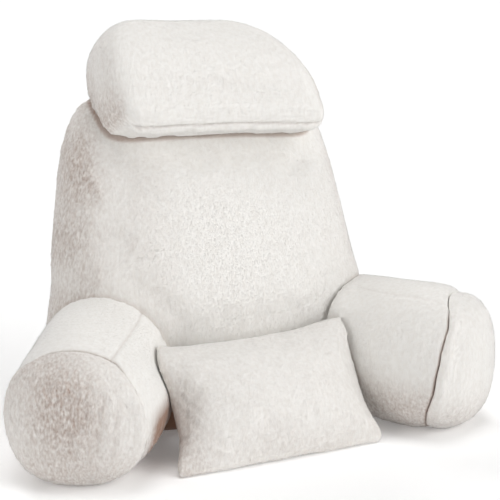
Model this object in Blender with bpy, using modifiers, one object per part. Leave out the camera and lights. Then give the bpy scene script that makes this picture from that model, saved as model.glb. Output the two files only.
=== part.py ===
"""Reading pillow with arms, in metres, +Z up, seen from the front along +Y.

A filled backrest stands on the floor and leans back. Two filled bolster arms are sewn to
its lower front corners and splay forwards, each closed by a domed end panel. A thick
D-shaped headrest cushion lies on its upper front and a knife-edged lumbar pillow stands
between the arms and leans on it. Every cushion is a coarse cage cut from a primitive,
shaped by a short table of named sizes and smoothed by Subdivision Surface.
"""

import math

import bmesh
import bpy
import numpy as np
from mathutils import Matrix, Vector

# ---- driving dimensions -------------------------------------------------------------

PART_NAME = "reading_pillow"
SEAM_GAP = 0.0003          # clearance between neighbouring cushions
CAGE_LEVELS = 2            # Subdivision Surface levels on every cage
WELD_DISTANCE = 0.00005    # slivers along a cut shorter than this are merged
FRAME_SHIFT = Vector((0.0038, 0.0247, 0.0))   # centres the box of the whole part on the origin
PLUSH_ROUGHNESS = 0.95
PLUSH_COLOURS = {
    "backrest": (0.84, 0.82, 0.78),
    "arm_left": (0.83, 0.81, 0.77),
    "arm_right": (0.83, 0.81, 0.77),
    "arm_left_end": (0.82, 0.80, 0.77),
    "arm_right_end": (0.82, 0.80, 0.77),
    "headrest": (0.84, 0.82, 0.78),
    "lumbar_pillow": (0.85, 0.83, 0.79),
}

# Backrest, from its foot to its top. Its plan is a rounded box, deeper at the foot.
BACKREST_ROWS = (
    # height, half_width, front_y, back_y
    (-0.006, 0.262, -0.028, 0.163),
    (0.030, 0.278, -0.048, 0.178),
    (0.130, 0.270, -0.056, 0.180),
    (0.220, 0.251, -0.032, 0.182),
    (0.320, 0.232, 0.004, 0.184),
    (0.400, 0.217, 0.038, 0.184),
    (0.455, 0.190, 0.066, 0.178),
    (0.482, 0.140, 0.088, 0.162),
)
BACKREST_COLUMNS = (-1.0, -0.55, 0.0, 0.55, 1.0)      # cuts across the width
BACKREST_LAYERS = (-1.0, 0.0, 1.0)                    # cuts through the depth
BACKREST_ROUNDNESS = 0.70  # 0 leaves the plan a box, 1 makes it an ellipse
BACKREST_CROWN = 0.018     # how far the front stands out at its middle

# Arms. The axis is a curve in plan that starts forwards and flares outwards.
ARMS = (
    # name, side, half_width, root_x, root_y, root_angle, seam_x, seam_y, seam_angle,
    # root_lift, seam_lift: angles in degrees from -Y, lifts are extra height of the top
    ("arm_left", -1.0, 0.104, 0.186, 0.010, 24.0, 0.281, -0.141, 36.0, 0.008, -0.004),
    ("arm_right", 1.0, 0.100, 0.213, 0.008, 13.0, 0.277, -0.148, 38.0, -0.016, 0.009),
)
ARM_HALF_HEIGHT = 0.100
ARM_CENTRE_HEIGHT = 0.097
ARM_SPREAD = 0.18          # how much the weight widens the section at the floor
ARM_SIDES = 10
ARM_ROWS = (
    # share of the axis past the root, wide, upper, lower: scales of the section's width and
    # of its height above and below the axis, lean: how far its top leans outwards
    (-0.55, 0.50, 0.80, 0.80, 0.00),
    (-0.20, 0.92, 1.14, 1.04, 0.00),
    (0.15, 1.06, 1.17, 1.10, 0.00),
    (0.55, 1.06, 1.16, 1.12, 0.05),
    (0.88, 1.06, 1.12, 1.12, 0.08),
    (1.00, 0.92, 0.95, 1.00, 0.09),
)
END_ROWS = (
    # past: distance past the seam, then the same four columns
    (0.000, 0.92, 0.95, 1.00, 0.09),
    (0.017, 0.98, 1.03, 1.09, 0.08),
    (0.050, 0.82, 0.84, 0.94, 0.06),
    (0.065, 0.42, 0.40, 0.50, 0.04),
)

# Headrest cushion, in its own leaning plane, with its right end a little lower.
HEADREST_ROWS = (
    # height, left: reach to -X, right: reach to +X, half_depth
    (0.000, 0.136, 0.146, 0.030),
    (0.012, 0.158, 0.172, 0.060),
    (0.058, 0.165, 0.165, 0.074),
    (0.108, 0.168, 0.134, 0.070),
    (0.146, 0.158, 0.092, 0.058),
    (0.166, 0.124, 0.040, 0.036),
)
HEADREST_COLUMNS = (-1.0, -0.7, -0.25, 0.25, 0.7, 1.0)
HEADREST_LAYERS = (-1.0, 0.0, 1.0)
HEADREST_FOOT = Vector((-0.004, 0.040, 0.415))
HEADREST_LEAN = math.radians(28.0)
HEADREST_ROLL = math.radians(3.2)

# Lumbar pillow, in its own leaning plane.
LUMBAR_WIDTH = 0.318
LUMBAR_HEIGHT = 0.207
LUMBAR_THICKNESS = 0.118
LUMBAR_EDGE = 0.008        # thickness left at the sewn edge
LUMBAR_PULL_LEFT = 0.15    # share by which each side is drawn in between its corners
LUMBAR_PULL_RIGHT = 0.03
LUMBAR_SAG = 0.20          # the same for the top edge
LUMBAR_SKEW = 0.009        # how far the top is shifted sideways
LUMBAR_COLUMNS = (-1.0, -0.8, -0.35, 0.35, 0.8, 1.0)
LUMBAR_BANDS = (-1.0, -0.7, 0.0, 0.7, 1.0)
LUMBAR_FOOT = Vector((-0.006, -0.191, -0.003))
LUMBAR_LEAN = math.radians(38.0)
LUMBAR_TURN = math.radians(2.5)


# ---- helpers ------------------------------------------------------------------------

def remove_default_objects():
    """Empty the scene without closing the file it runs from."""
    for item in list(bpy.data.objects):
        bpy.data.objects.remove(item, do_unlink=True)


def new_collection(name, hidden=False):
    collection = bpy.data.collections.new(name)
    bpy.context.scene.collection.children.link(collection)
    collection.hide_render = hidden
    return collection


def plush_material(name):
    """A matte off-white pile cloth."""
    material = bpy.data.materials.new(name + "_plush")
    material.use_nodes = True
    shader = material.node_tree.nodes["Principled BSDF"]
    shader.inputs["Base Color"].default_value = (*PLUSH_COLOURS[name], 1.0)
    shader.inputs["Roughness"].default_value = PLUSH_ROUGHNESS
    shader.inputs["Metallic"].default_value = 0.0
    return material


def cut_rows(bm, axis, places):
    """Cut the whole mesh with a plane across the given axis at each inner place."""
    normal = Vector((0.0, 0.0, 0.0))
    normal[axis] = 1.0
    for place in places[1:-1]:
        geometry = bm.verts[:] + bm.edges[:] + bm.faces[:]
        bmesh.ops.bisect_plane(bm, geom=geometry, plane_co=normal * place, plane_no=normal)


def box_cage(columns, layers, bands):
    """A cube from -1 to 1 cut into columns along X, layers along Y and bands along Z."""
    bm = bmesh.new()
    bmesh.ops.create_cube(bm, size=2.0)
    cut_rows(bm, 0, columns)
    cut_rows(bm, 1, layers)
    cut_rows(bm, 2, bands)
    return bm


def row_values(rows, along):
    """Read every column of a table at one place of its first column."""
    table = np.array(rows)
    return [float(np.interp(along, table[:, 0], column)) for column in table.T[1:]]


def add_smoothing(piece):
    smooth = piece.modifiers.new("smooth", "SUBSURF")
    smooth.levels = CAGE_LEVELS
    smooth.render_levels = CAGE_LEVELS


def finish_object(bm, name, collection):
    """Put the cage, moved into the part's frame, into a smooth-shaded plush object."""
    bmesh.ops.translate(bm, vec=FRAME_SHIFT, verts=bm.verts[:])
    bmesh.ops.recalc_face_normals(bm, faces=bm.faces[:])
    mesh = bpy.data.meshes.new(name)
    bm.to_mesh(mesh)
    bm.free()
    mesh.shade_smooth()
    piece = bpy.data.objects.new(name, mesh)
    collection.objects.link(piece)
    mesh.materials.append(plush_material(name))
    add_smoothing(piece)
    return piece


def cut_away(piece, cutters):
    """Take each cutter's volume out of the piece, and merge the slivers that this leaves."""
    for cutter in cutters:
        cut = piece.modifiers.new(cutter.name, "BOOLEAN")
        cut.operation = "DIFFERENCE"
        cut.solver = "EXACT"
        cut.object = cutter
    weld = piece.modifiers.new("weld", "WELD")
    weld.merge_threshold = WELD_DISTANCE


def as_cutter(piece):
    piece.hide_render = True
    piece.display_type = "WIRE"


def levels_of(rows):
    """The first column of a table, spread from -1 to 1 as cuts of a unit cage."""
    first = np.array(rows)[:, 0]
    return list(2.0 * (first - first[0]) / (first[-1] - first[0]) - 1.0)


def rounded_plan(across, layer, roundness):
    """Turn a point of a square towards the matching point of a circle."""
    wide = across * math.sqrt(1.0 - roundness * layer ** 2 / 2.0)
    deep = layer * math.sqrt(1.0 - roundness * across ** 2 / 2.0)
    return wide, deep


# ---- the cushions -------------------------------------------------------------------

def backrest_cage():
    """A wedge-like cushion: each band takes its width and depth from the table."""
    bands = levels_of(BACKREST_ROWS)
    heights = [row[0] for row in BACKREST_ROWS]
    bm = box_cage(BACKREST_COLUMNS, BACKREST_LAYERS, bands)
    for vert in bm.verts:
        across, layer, band = vert.co
        height = float(np.interp(band, bands, heights))
        half_width, front, back = row_values(BACKREST_ROWS, height)
        wide, deep = rounded_plan(across, layer, BACKREST_ROUNDNESS)
        crown = BACKREST_CROWN * (1.0 - across ** 2) * math.sin(math.pi * (band + 1.0) / 2.0)
        depth = front + (back - front) * (deep + 1.0) / 2.0 - crown * max(-layer, 0.0)
        vert.co = (wide * half_width, depth, height)
    return bm


def make_backrest(collection, floor_cut):
    backrest = finish_object(backrest_cage(), "backrest", collection)
    cut_away(backrest, [floor_cut])
    return backrest


def make_clearance(piece, cutters):
    """The piece grown by the seam gap, which its neighbours are cut by."""
    clearance = bpy.data.objects.new(piece.name + "_clearance", piece.data)
    cutters.objects.link(clearance)
    add_smoothing(clearance)
    grow = clearance.modifiers.new("grow", "DISPLACE")
    grow.strength = SEAM_GAP
    grow.mid_level = 0.0
    as_cutter(clearance)
    return clearance


def make_floor_cut(cutters):
    """A block whose top is the floor, which presses round undersides flat."""
    bm = bmesh.new()
    bmesh.ops.create_cube(bm, size=1.0)
    bmesh.ops.scale(bm, vec=(2.0, 2.0, 0.2), verts=bm.verts[:])
    bmesh.ops.translate(bm, vec=(0.0, 0.0, -0.1), verts=bm.verts[:])
    mesh = bpy.data.meshes.new("floor_cut")
    bm.to_mesh(mesh)
    bm.free()
    floor_cut = bpy.data.objects.new("floor_cut", mesh)
    cutters.objects.link(floor_cut)
    as_cutter(floor_cut)
    return floor_cut


class ArmAxis:
    """The plan curve of an arm's axis, mirrored by its side, and straight past both ends."""

    def __init__(self, side, half_width, root_x, root_y, root_angle, seam_x, seam_y, seam_angle,
                 root_lift, seam_lift):
        self.side = side
        self.half_width = half_width
        self.root_lift = root_lift
        self.seam_lift = seam_lift
        self.root = Vector((root_x, root_y))
        self.seam = Vector((seam_x, seam_y))
        self.root_way = self.way(root_angle)
        self.seam_way = self.way(seam_angle)
        across = self.root_way.x * self.seam_way.y - self.root_way.y * self.seam_way.x
        reach = self.seam - self.root
        share = (reach.x * self.seam_way.y - reach.y * self.seam_way.x) / across
        self.bend = self.root + self.root_way * share
        self.length = (self.bend - self.root).length + (self.seam - self.bend).length

    @staticmethod
    def way(angle):
        return Vector((math.sin(math.radians(angle)), -math.cos(math.radians(angle))))

    def at(self, share):
        """The point and the direction at a share of the curve, in plan."""
        if share <= 0.0:
            return self.root + self.root_way * (share * self.length), self.root_way
        if share >= 1.0:
            return self.seam + self.seam_way * ((share - 1.0) * self.length), self.seam_way
        first = self.root.lerp(self.bend, share)
        second = self.bend.lerp(self.seam, share)
        return first.lerp(second, share), (second - first).normalized()


def bolster_cage(axis, rows, seam_ring):
    """A tube along the arm's axis whose section grows, shrinks and leans with the table.

    The rim of its flat cap at the seam stays sharp: -1.0 is the first cap, 1.0 the last.
    """
    stations = levels_of(rows)
    bm = bmesh.new()
    bmesh.ops.create_cone(bm, cap_ends=True, segments=ARM_SIDES, radius1=1.0, radius2=1.0, depth=2.0)
    cut_rows(bm, 2, stations)
    crease = bm.edges.layers.float.new("crease_edge")
    for edge in bm.edges:
        edge[crease] = float(all(math.isclose(vert.co.z, seam_ring) for vert in edge.verts))
    shares = [row[0] for row in rows]
    for vert in bm.verts:
        wide, high, station = vert.co
        share = float(np.interp(station, stations, shares))
        width, upper, lower, lean_out = row_values(rows, share)
        middle, way = axis.at(share)
        rise = high * ARM_HALF_HEIGHT * (upper if high > 0.0 else lower)
        rise += max(high, 0.0) * float(np.interp(share, (0.0, 1.0), (axis.root_lift, axis.seam_lift)))
        half_width = width * axis.half_width * (1.0 + ARM_SPREAD * max(-high, 0.0))
        place = middle + way * (rise * lean_out) + Vector((-way.y, way.x)) * (wide * half_width)
        vert.co = (axis.side * place.x, place.y, ARM_CENTRE_HEIGHT + rise)
    return bm


def make_arm(name, axis, collection, floor_cut, backrest_clearance):
    arm = finish_object(bolster_cage(axis, ARM_ROWS, seam_ring=1.0), name, collection)
    cut_away(arm, [floor_cut, backrest_clearance])
    return arm


def make_arm_end(name, axis, collection, floor_cut):
    rows = [(1.0 + (row[0] + SEAM_GAP) / axis.length, *row[1:]) for row in END_ROWS]
    end = finish_object(bolster_cage(axis, rows, seam_ring=-1.0), name, collection)
    cut_away(end, [floor_cut])


def lean_on(verts, foot, lean, roll=0.0, turn=0.0):
    """Stand points up on their foot: rolled in their own plane, leant back, then turned."""
    stand = Matrix.Rotation(turn, 3, "Z") @ Matrix.Rotation(-lean, 3, "X") @ Matrix.Rotation(roll, 3, "Y")
    for vert in verts:
        vert.co = stand @ vert.co + foot


def make_headrest(collection, backrest_clearance):
    """A thick cushion with a straight lower edge and an arched top."""
    bands = levels_of(HEADREST_ROWS)
    heights = [row[0] for row in HEADREST_ROWS]
    bm = box_cage(HEADREST_COLUMNS, HEADREST_LAYERS, bands)
    for vert in bm.verts:
        across, layer, band = vert.co
        height = float(np.interp(band, bands, heights))
        left, right, half_depth = row_values(HEADREST_ROWS, height)
        vert.co = (across * (left if across < 0.0 else right), layer * half_depth, height)
    lean_on(bm.verts, HEADREST_FOOT, HEADREST_LEAN, roll=HEADREST_ROLL)
    cut_away(finish_object(bm, "headrest", collection), [backrest_clearance])


def make_lumbar(collection, floor_cut, clearances):
    """A knife-edged pillow: thickest in the middle, its sides drawn in between corners."""
    bm = box_cage(LUMBAR_COLUMNS, (-1.0, 1.0), LUMBAR_BANDS)
    for vert in bm.verts:
        across, layer, band = vert.co
        bulge = math.sqrt((1.0 - across ** 2) * (1.0 - band ** 2))
        half = (LUMBAR_EDGE + (LUMBAR_THICKNESS - LUMBAR_EDGE) * bulge) / 2.0
        pull = LUMBAR_PULL_LEFT if across < 0.0 else LUMBAR_PULL_RIGHT
        wide = across * (1.0 - pull * (1.0 - band ** 2) * abs(across))
        tall = band * (1.0 - LUMBAR_SAG * (1.0 - across ** 2) * max(band, 0.0))
        skew = LUMBAR_SKEW * (tall + 1.0) / 2.0
        vert.co = (wide * LUMBAR_WIDTH / 2.0 + skew, layer * half, (tall + 1.0) * LUMBAR_HEIGHT / 2.0)
    lean_on(bm.verts, LUMBAR_FOOT, LUMBAR_LEAN, turn=LUMBAR_TURN)
    cut_away(finish_object(bm, "lumbar_pillow", collection), [floor_cut] + clearances)


def main():
    remove_default_objects()
    parts = new_collection(PART_NAME)
    cutters = new_collection("cutters", hidden=True)
    floor_cut = make_floor_cut(cutters)
    backrest = make_backrest(parts, floor_cut)
    backrest_clearance = make_clearance(backrest, cutters)
    clearances = [backrest_clearance]
    for name, *plan in ARMS:
        axis = ArmAxis(*plan)
        arm = make_arm(name, axis, parts, floor_cut, backrest_clearance)
        clearances.append(make_clearance(arm, cutters))
        make_arm_end(name + "_end", axis, parts, floor_cut)
    make_headrest(parts, backrest_clearance)
    make_lumbar(parts, floor_cut, clearances)


main()
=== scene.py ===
"""Dresses a packed reading pillow with arms in cream plush, with real tufts of short pile.

Every cushion starts as a merged copy of its solid, is remeshed evenly, drawn in a little and
swelled again by a cloth simulation that holds it where it is sewn or pressed. Seams, folds
and puckers are then raised by formulas, and tufts are grown from its faces as one mesh.
"""

import math

import bpy
import numpy as np
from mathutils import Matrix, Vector


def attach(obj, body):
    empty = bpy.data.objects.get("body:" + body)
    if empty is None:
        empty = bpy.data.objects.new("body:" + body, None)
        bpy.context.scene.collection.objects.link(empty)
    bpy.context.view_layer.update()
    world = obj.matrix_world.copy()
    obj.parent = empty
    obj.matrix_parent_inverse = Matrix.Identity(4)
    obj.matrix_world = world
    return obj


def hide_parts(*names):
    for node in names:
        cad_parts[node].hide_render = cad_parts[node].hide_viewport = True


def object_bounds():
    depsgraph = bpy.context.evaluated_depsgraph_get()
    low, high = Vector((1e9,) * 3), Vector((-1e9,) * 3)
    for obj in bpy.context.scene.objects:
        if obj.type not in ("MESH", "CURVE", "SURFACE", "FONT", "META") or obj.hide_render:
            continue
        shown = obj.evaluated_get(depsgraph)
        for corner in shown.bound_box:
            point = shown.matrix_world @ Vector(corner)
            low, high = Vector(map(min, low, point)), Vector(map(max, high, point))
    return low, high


bl_info = {
    "name": "Reading pillow with arms",
    "version": (1, 0, 0),
    "blender": (4, 5, 0),
    "location": "3D View > Sidebar > Reading Pillow",
    "description": "Dresses the solids of a reading pillow in plush and sets up its studio",
    "category": "Object",
}

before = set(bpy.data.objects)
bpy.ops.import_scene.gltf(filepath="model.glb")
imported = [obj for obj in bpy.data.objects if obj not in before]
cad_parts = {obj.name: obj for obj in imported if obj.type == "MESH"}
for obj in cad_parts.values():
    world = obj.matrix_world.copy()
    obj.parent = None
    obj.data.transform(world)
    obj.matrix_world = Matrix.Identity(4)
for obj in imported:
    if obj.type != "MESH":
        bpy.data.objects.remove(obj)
CAD_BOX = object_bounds()
CENTRE = (CAD_BOX[0] + CAD_BOX[1]) / 2.0
BODY = "root"

# The photograph's view: 500 by 500 pixels, seen from the viewer's left of the front.
CAMERA_AZIMUTH = -25.14  # degrees from the front towards +X
CAMERA_ELEVATION = 14.77
CAMERA_DISTANCE = 2.864
CAMERA_TARGET = Vector((0.0343, 0.0119, 0.2551))
CAMERA_LENS = 143.8
SENSOR_WIDTH = 36.0

WORLD_COLOUR = "#fff6ee"
WORLD_STRENGTH = 0.04
FLOOR_REACH = 40.0  # half of the floor's side
LIGHT_DISTANCE = 3.0
SUNS = (
    # name, azimuth from the front towards +X and elevation in degrees, strength, spread
    ("key", 45.0, 25.0, 1.80, 60.0),
    ("front", 20.0, 22.0, 0.43, 60.0),
    ("left", -85.0, 10.0, 1.60, 60.0),
    ("top", 0.0, 88.0, 1.00, 30.0),
    ("back", 180.0, 40.0, 0.95, 25.0),
)

# How the surfaces take light.
BACKING_SURFACE = {"Roughness": 0.95, "Specular IOR Level": 0.2, "Sheen Roughness": 0.5}
PILE_SURFACE = {"Roughness": 0.85, "Specular IOR Level": 0.25, "Sheen Roughness": 0.5,
                "Subsurface Radius": (1.0, 0.9, 0.8), "Subsurface Scale": 0.004}
PAPER_SURFACE = {"Roughness": 1.0, "Specular IOR Level": 0.0, "Emission Strength": 0.14}
BRUSHED_SCALE = (1.0, 1.0, 0.5)  # the backing's mottling is drawn out upright
MOTTLE_RISE, MOTTLE_DROP = 1.4, -0.27

# Simulation of the filled cushions.
CLOTH_FRAMES = 20
COVER = {  # a thin knitted cover that stretches and bends easily
    "quality": 4, "mass": 0.3, "tension_stiffness": 15.0, "compression_stiffness": 15.0,
    "shear_stiffness": 5.0, "bending_stiffness": 0.5, "use_pressure": True,
}
MERGE_DISTANCE = 0.00001
COPY_ROUNDS = 12  # smoothing of the remeshed copy of a solid
SWELL_ROUNDS = 5  # smoothing of what the swelling added
WAY_BACK = 0.53  # share by which smoothing moves a point out again
WRAP_LIMIT = 0.006
SOFT_REACH = 0.010  # from here to another cushion a sewn edge may be rounded off
CRISP_REACH = 0.010  # this near to another cushion an edge stays as sharp as the solid's
BACKREST_GRAIN = 1.24  # size of the backrest's grid, and of the lumbar pillow's
LUMBAR_GRAIN = 0.9
BACKREST_MIDDLE = 0.085  # behind the middle of the box, where its pile is parted in two
LUMBAR_INSET = 0.0012  # the flat loose pillow is drawn in less
HELD_REACH = 0.030  # from here to a sewn or pressed face a point is held more and more
HELD_STEPS = 8
SINK_LIMIT = 0.0008  # most that swelling may draw the cover in
CONTACT_REACH = 0.012  # from here to another cushion the waves of a cover fade out
PRESSED_REACH = 0.0045  # this near to another cushion the pile is crushed and shaded
CLEAR = 1.0  # distance that stands for no partner at all

# Noise that bends the covers and varies their shade: height or share, size and seed.
WAVES = {
    "locks": (1.0, (0.0048, 0.0048, 0.0070), 61),
    "puckers": (0.0006, 0.0085, 21),
    "arm": (0.0009, 0.050, 22),
    "end": (0.0009, (0.020, 0.020, 0.090), 24),
    "fold": (0.0030, 0.022, 25),
    "roll": (0.16, 0.013, 31),
    "gathers": (0.0013, 0.011, 32),
    "headrest": (0.0009, 0.045, 33),
    "lumbar": (0.0009, 0.040, 41),
    "lumbar_fine": (0.0005, 0.015, 42),
    "streaks": (0.0009, (0.020, 0.016, 0.120), 51),
    "backrest": (0.0010, 0.060, 52),
    "curls": (1.0, (0.0028, 0.0028, 0.0042), 62),
    "locks_shade": (0.5, 0.0056, 63),
    "patches": (0.45, 0.045, 71),
}

# The pile. Values for ruffled pile are what a full ruffle adds.
NAP = np.array((0.0, -0.45, -1.0))  # the pile is brushed down and a little forwards
SWIRL, RUFFLED_SWIRL, SWIRL_SIZE = 0.16, 0.3, 0.022
LOCK_SWIRL, RUFFLED_LOCK_SWIRL, TUFT_SWIRL = 0.14, 0.5, 0.14
LOCK_LEAN, RUFFLED_LOCK_LEAN, TUFT_LEAN, RUFFLED_RISE = 0.05, 0.25, 0.07, 0.20
LOOSE_LEAN, LOOSE_LENGTH, LOOSE_WIDTH = 0.72, 1.45, 0.7
PATCH_LENGTH, PATCH_LENGTH_SIZE, TUFT_LENGTH = 0.10, 0.010, 0.10
CREASE_SHORTENING = 0.5
TIP_FLOOR = 0.0006  # no tip is lower than this
PRESSED_CREASE, PRESSED_PILE = 0.6, 0.4  # a contact's shade on the backing and the pile
# How pale a tuft is: painted shade of ruffled nap in curls, of creases and of contacts, and a
# little random spread.
PALEST, DARKEST, OPEN_SHADE = 0.97, 0.05, 0.96
RUFFLED_SHADE, CURL_SHADE, RUFFLED_SHADE_LIMIT = 0.44, 0.50, 0.50
CREASE_SHADE, TUFT_SHADE, TUFT_MAP_WIDTH = 0.95, 0.013, 0.025

# Axes of the two arms in plan, as the solids have them: where the curve starts at the
# backrest and ends at the seam of the end panel, with its direction from -Y in degrees.
ARM_AXES = {
    # name: (side, root_x, root_y, root_angle, seam_x, seam_y, seam_angle)
    "arm_left": (-1.0, 0.186, 0.010, 24.0, 0.281, -0.141, 36.0),
    "arm_right": (1.0, 0.213, 0.008, 13.0, 0.277, -0.148, 38.0),
}
FRAME_SHIFT = np.array((0.0038, 0.0247))
ARM_CENTRE_HEIGHT = 0.097
# The long seam of each arm: its angle from the top towards the lap, how deep, and how
# dark its line of painted shade is.
ARM_SEAM_TURNS = {"arm_left": math.radians(31.0), "arm_right": math.radians(21.5)}
ARM_SEAM_DEPTHS = {"arm_left": 0.0014, "arm_right": 0.0006}
LONG_SEAM_LINES = {"arm_left": 0.20, "arm_right": 0.08}
LONG_SEAM_WIDTH, LONG_LINE_WIDTH = 0.0034, 0.0014
LONG_SEAM_START = (-0.20, -0.16)  # where it sets in, counted from the end panel's seam
ARM_RADIUS = 0.105
# By degrees from the top to the lap: how far the notch at each end panel's seam is filled,
# how far the seam lies further out along the arm, and how deep its line of stitches is sunk
# and how dark its painted shade is.
END_SEAM_FILLS = {
    "arm_left": ((-180, 0.002), (-60, 0.002), (0, 0.004), (60, 0.005), (120, 0.005), (180, 0.002)),
    "arm_right": ((-180, 0.003), (0, 0.001), (30, 0.004), (60, 0.005), (120, 0.005), (180, 0.003)),
}
END_SEAM_SHIFTS = {
    "arm_left": ((-180, 0.0), (-90, 0.015), (-36, 0.018), (-24, 0.008), (10, 0.006), (36, 0.003),
                 (52, 0.016), (70, 0.021), (105, 0.021), (140, 0.008), (180, 0.0)),
    "arm_right": ((-180, 0.0), (5, 0.0), (18, 0.008), (30, 0.018), (45, 0.025), (80, 0.025),
                  (105, 0.022), (125, 0.011), (150, 0.0), (180, 0.0)),
}
END_SEAM_LINES = {
    "arm_left": ((-180, 0.1), (-60, 0.15), (-34, 0.5), (34, 0.55), (48, 0.10), (180, 0.05)),
    "arm_right": ((-180, 0.0), (26, 0.0), (38, 0.5), (100, 0.6), (125, 0.4), (180, 0.1)),
}
FILL_REACH = 0.027  # how far from the seam its notch is filled
NOTCH_RISE = 0.0020  # how far the very bottom of the notch is lifted besides
STITCH_DEPTH, STITCH_WIDTH, STITCH_LINE_WIDTH = 0.0032, 0.0032, 0.0022
PUCKER_REACH = 0.013
SLIDE_REACH = 0.045  # how far along the arm the seam's slide is felt
SLIDE_TURN = 0.020  # this far from the seam the slide runs along the surface
# Where an arm leaves its solid, pressed in by another cushion or fuller than it: place,
# reach and move.
ARM_MOVES = {
    "arm_left": (
        ((-0.140, -0.085, 0.142), 0.045, (-0.009, 0.004, -0.003)),
        ((-0.348, -0.124, 0.038), 0.050, (-0.006, 0.001, -0.006)),
        ((-0.350, -0.090, 0.150), 0.050, (-0.005, 0.000, 0.005)),
    ),
    "arm_right": (
        ((0.162, -0.010, 0.172), 0.042, (-0.014, -0.010, 0.000)),
        ((0.192, 0.006, 0.187), 0.026, (-0.009, -0.006, 0.000)),
        ((0.325, -0.150, 0.045), 0.045, (0.004, -0.002, -0.002)),
    ),
}
# Painted shade deep between the left arm's root and the backrest: across, and in height.
ARM_DEEP_ACROSS, ARM_DEEP_HEIGHTS = (-0.205, -0.170), (0.110, 0.070)
END_FACE = (0.030, 0.055)  # past the seam, where the panel's face sets in
# Upright folds in an end panel: how they fade, lean and spread, and the painted shade in them;
# for each fold, place across, lowest and highest point, depth.
FOLD_FADE, FOLD_LEAN, FOLD_WIDTH, FOLD_LINE = 0.015, 0.10, 0.0045, 0.07
END_FOLDS = {
    "arm_left": ((-0.2720, 0.060, 0.145, 0.0015), (-0.2500, 0.050, 0.135, 0.0012)),
    "arm_right": (),
}

# The headrest's own leaning plane, as its solid has it.
HEADREST_FOOT = np.array((-0.0002, 0.0647, 0.415))
HEADREST_LEAN = math.radians(28.0)
HEADREST_ROLL = math.radians(3.2)


# ---- colours, materials --------------------------------------------------------------

def linear(code):
    """The linear RGB of an sRGB hex colour."""
    values = [int(code[place:place + 2], 16) / 255.0 for place in (1, 3, 5)]
    return tuple(v / 12.92 if v <= 0.04045 else ((v + 0.055) / 1.055) ** 2.4 for v in values)


def feed(made, inputs):
    """Give each socket of a node its value, or link it to the output that is given."""
    for socket, value in inputs.items():
        if isinstance(value, bpy.types.NodeSocket):
            made.id_data.links.new(value, made.inputs[socket])
        else:
            made.inputs[socket].default_value = value
    return made


def node(tree, kind, inputs=None, **settings):
    """Add a node with its settings, and feed its sockets."""
    made = tree.nodes.new(kind)
    for name, value in settings.items():
        setattr(made, name, value)
    return feed(made, inputs or {})


def new_material(name):
    """An empty node material and its Principled shader."""
    material = bpy.data.materials.new(name)
    material.use_nodes = True
    tree = material.node_tree
    tree.nodes.clear()
    shader = node(tree, "ShaderNodeBsdfPrincipled")
    node(tree, "ShaderNodeOutputMaterial", {"Surface": shader.outputs["BSDF"]})
    return material, tree, shader


def colour_ramp(tree, value, stops):
    """A ramp from a value to two colours, given as (place, linear colour)."""
    ramp = node(tree, "ShaderNodeValToRGB", {"Fac": value})
    for mark, (place, colour) in zip(ramp.color_ramp.elements, stops):
        mark.position = place
        mark.color = (*colour, 1.0)
    return ramp.outputs["Color"]


def mottling(tree, place, size, detail):
    return node(tree, "ShaderNodeTexNoise",
                {"Vector": place, "Scale": 1.0 / size, "Detail": detail}).outputs["Fac"]


def times_plus(tree, value, factor, term):
    """The value times the factor plus the term, kept from 0 to 1."""
    return node(tree, "ShaderNodeMath", {0: value, 1: factor, 2: term}, operation="MULTIPLY_ADD",
                use_clamp=True).outputs["Value"]


def multiplied(tree, share, base, tint):
    """The base colour, to that share multiplied by the tint."""
    return node(tree, "ShaderNodeMix", {0: share, 6: base, 7: tint}, data_type="RGBA",
                blend_type="MULTIPLY").outputs[2]


def attribute(tree, name):
    return node(tree, "ShaderNodeAttribute", attribute_name=name).outputs["Fac"]


def bumpy(tree, height, strength, distance, **normal):
    return node(tree, "ShaderNodeBump", {"Height": height, "Strength": strength,
                                         "Distance": distance, **normal}).outputs["Normal"]


def backing_material(name, look):
    """Knitted polyester backing of a plush, which shows only as a soft ground between tufts.

    To the eye it is matte and a shade darker and warmer than the pile, with a loop every
    2 mm, drawn about twice as coarse as the real knit so that it shows. Where the nap is
    ruffled it carries painted shade in curls, and along seams, in folds and at contacts plain
    painted shade.
    """
    material, tree, shader = new_material(name)
    place = node(tree, "ShaderNodeTexCoord").outputs["Object"]
    brushed = node(tree, "ShaderNodeMapping", {"Vector": place, "Scale": BRUSHED_SCALE})
    brushed = brushed.outputs["Vector"]
    locks = mottling(tree, brushed, look.lock_size, 3.0)
    loops = mottling(tree, brushed, look.loop_size, 2.0)
    curls = mottling(tree, brushed, look.curl_size, 3.0)
    ground = colour_ramp(tree, locks, ((0.35, look.root_colour), (0.6, look.ground_colour)))
    mottle = times_plus(tree, curls, MOTTLE_RISE, MOTTLE_DROP)
    # Painted shade: ruffled nap in curls, and creases and contacts.
    painted_shade_share = times_plus(tree, attribute(tree, "ruffle_and_shade"), mottle, attribute(tree, "crease_and_shade"))
    relief = bumpy(tree, locks, 0.4, 0.0005)
    feed(shader, {
        "Base Color": multiplied(tree, painted_shade_share, ground, (*look.shade_colour, 1.0)),
        "Normal": bumpy(tree, loops, 0.5, 0.0003, Normal=relief),
        "Sheen Weight": look.sheen, **BACKING_SURFACE})
    return material


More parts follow.
